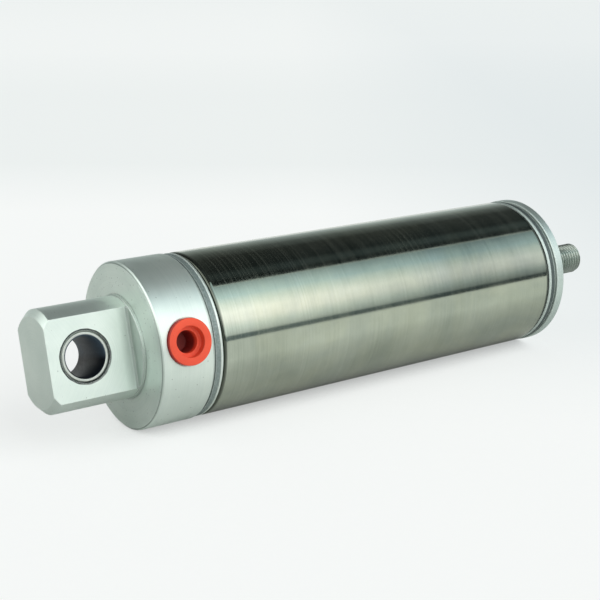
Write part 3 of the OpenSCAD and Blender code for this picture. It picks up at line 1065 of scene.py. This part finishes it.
def make_card(name, points, wide, shades):
    """A card seen only in reflections: rows of points, wide to a row, and
    the colour and brightness that it shows at each point."""
    faces = []
    for row in range(len(points) // wide - 1):
        for j in range(wide - 1):
            k = row * wide + j
            faces.append((k, k + 1, k + wide + 1, k + wide))
    stuff = bpy.data.materials.new(name)
    tree = plain_tree(stuff)
    shade = put(tree, "ShaderNodeAttribute", attribute_name="shade")
    glow = put(tree, "ShaderNodeEmission",
               {"Color": shade.outputs["Color"], "Strength": 1.0})
    put(tree, "ShaderNodeOutputMaterial", {"Surface": glow.outputs[0]})
    card = stage_mesh(name, points, faces, stuff)
    layer = card.data.attributes.new("shade", "FLOAT_COLOR", "POINT")
    layer.data.foreach_set("color", [v for shade in shades for v in shade])
    card.visible_camera = False
    card.visible_diffuse = False
    card.visible_shadow = False
    card.visible_transmission = False


def make_long_card(name, levels, along, distance):
    """A card curved round the cylinder's axis.

    levels lists angles in degrees about X on the set, how bright the card
    is there, and its colour: 0 is level in front, 90 is straight up and
    180 is level behind. along lists places on X, the share of that
    brightness from 30 degrees up and at the card's foot, and a tint."""
    points, shades = [], []
    full_share_at = 30.0
    for angle, level, colour in levels:
        a = math.radians(angle)
        y, z = -distance * math.cos(a), distance * math.sin(a)
        rise = min(max(angle / full_share_at, 0.0), 1.0)
        for x, high, low, tint in along:
            share = level * (low + (high - low) * rise)
            points.append((x, y, z))
            shades.append(tuple(v * t * share for v, t in
                                zip(colour, tint)) + (1.0,))
    make_card(name, points, len(along), shades)


def make_side_card(name, x, levels, y_from, y_to):
    """An upright card at the left: heights and how bright it is there."""
    points, shades, green = [], [], 1.02
    for height, level in levels:
        for y in (y_from, y_to):
            points.append((x, y, height))
            shades.append((level, level * green, level, 1.0))
    make_card(name, points, 2, shades)


def make_sun(name, place, strength, spread_angle):
    """Soft even light from one side of the set, left out of reflections."""
    light = bpy.data.lights.new(name, "SUN")
    light.energy = strength
    light.angle = math.radians(spread_angle)
    lamp = bpy.data.objects.new(name, light)
    lamp.matrix_world = look(place, (0.0, 0.0, 0.0))
    lamp.visible_glossy = False
    bpy.context.scene.collection.objects.link(lamp)


def make_world():
    """A plain pale room: white to the camera and in metal."""
    world = bpy.data.worlds.new("studio")
    bpy.context.scene.world = world
    tree = plain_tree(world)
    seen = put(tree, "ShaderNodeLightPath").outputs
    shown = calc(tree, "MAXIMUM", seen["Is Camera Ray"],
                 calc(tree, "MAXIMUM", seen["Is Glossy Ray"],
                      seen["Is Transmission Ray"]))
    level = spread(tree, shown, 0.0, 1.0, ROOM_LEVEL, ROOM_SHOWN)
    sky = put(tree, "ShaderNodeBackground",
              {"Color": srgb(246, 250, 249), "Strength": level})
    put(tree, "ShaderNodeOutputWorld", {"Surface": sky.outputs[0]})


make_floor()
make_world()
# Tints of the cards' light
COOL, EVEN, WARM = (0.82, 1.0, 1.08), (0.95, 1.0, 1.0), (1.04, 1.0, 1.0)
SLATE, PLAIN = (0.84, 1.03, 1.1), (1.0, 1.0, 1.0)
FRESH = (0.95, 1.0, 1.04)
make_long_card("dark overhead flag",
               [(77.5, 0.016, SLATE), (84, 0.02, SLATE), (89, 0.05, SLATE),
                (95, 0.05, SLATE), (101, 0.022, SLATE), (130, 0.04, EVEN),
                (146, 0.13, EVEN), (158, 0.3, EVEN), (166, 0.42, EVEN),
                (174, 0.55, EVEN)],
               [(-0.7, 0.9, 0.9, EVEN), (1.0, 0.9, 0.9, EVEN),
                (1.5, 1.3, 1.3, EVEN), (4.0, 1.3, 1.3, EVEN)],
               distance=1.7)
make_long_card("white front card",
               [(-2.6, 0.28, SLATE), (4.6, 0.28, SLATE), (5.3, 1.05, EVEN),
                (14, 1.45, EVEN), (25, 1.85, WARM), (36, 1.97, WARM),
                (48, 1.6, EVEN), (58, 1.25, COOL), (70, 0.85, COOL),
                (76.5, 0.6, COOL)],
               [(-3.0, 0.9, 0.9, PLAIN), (-0.3, 1.0, 1.0, PLAIN),
                (0.68, 1.0, 0.86, PLAIN), (0.86, 0.84, 0.62, PLAIN),
                (1.05, 0.63, 0.38, FRESH), (1.29, 0.44, 0.15, FRESH),
                (1.37, 0.58, 0.19, FRESH), (1.46, 0.88, 0.28, FRESH),
                (3.5, 0.88, 0.28, FRESH)],
               distance=1.2)
make_side_card("left card", -0.7,
               [(-0.03, 0.16), (0.14, 0.16), (0.3, 1.2), (0.45, 2.2),
                (0.9, 2.2)], y_from=-0.8, y_to=0.7)
make_sun("key light", (0.5, -0.8, 0.6), strength=2.0, spread_angle=70.0)

CAMERA_AT, CAMERA_AIM = (-0.190, -0.4239, 0.1525), (0.0963, -0.0138, 0.0097)
camera_data = bpy.data.cameras.new("camera")
camera_data.sensor_width = 36.0
camera_data.lens = 75.7
camera = bpy.data.objects.new("camera", camera_data)
camera.matrix_world = look(CAMERA_AT, CAMERA_AIM)
bpy.context.scene.collection.objects.link(camera)
bpy.context.scene.camera = camera
bpy.context.scene.view_settings.view_transform = "Standard"
